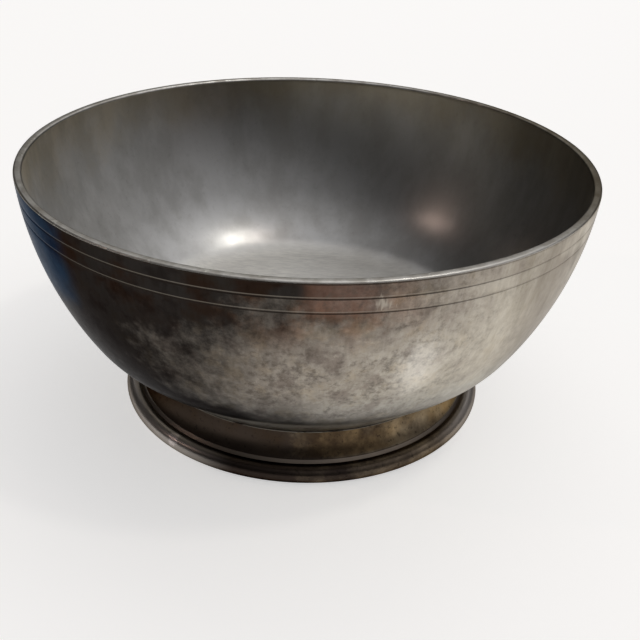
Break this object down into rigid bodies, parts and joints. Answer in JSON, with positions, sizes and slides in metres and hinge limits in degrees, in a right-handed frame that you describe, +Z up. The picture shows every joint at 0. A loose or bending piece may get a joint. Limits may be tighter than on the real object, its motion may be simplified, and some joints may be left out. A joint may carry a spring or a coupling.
{
  "type": "footed bowl",
  "caption": "Round pewter bowl with a flat rim, incised lines below it and a moulded foot ring soldered underneath, for serving food.",
  "frame": {"origin": "centre of the resting ring under the foot, on the bowl's axis", "axes": "+Z up along the bowl's axis; the part is round, so X and Y are free"},
  "size_m": [0.13, 0.1298, 0.0606],
  "materials": {
    "pewter_bowl": "satin, dark patina",
    "pewter_foot": "satin, dark brown patina",
    "solder": "satin"
  },
  "bodies": {
    "root": {"bowl": "pewter_bowl", "foot_ring": "pewter_foot", "solder_joint": "solder"}
  },
  "joints": []
}
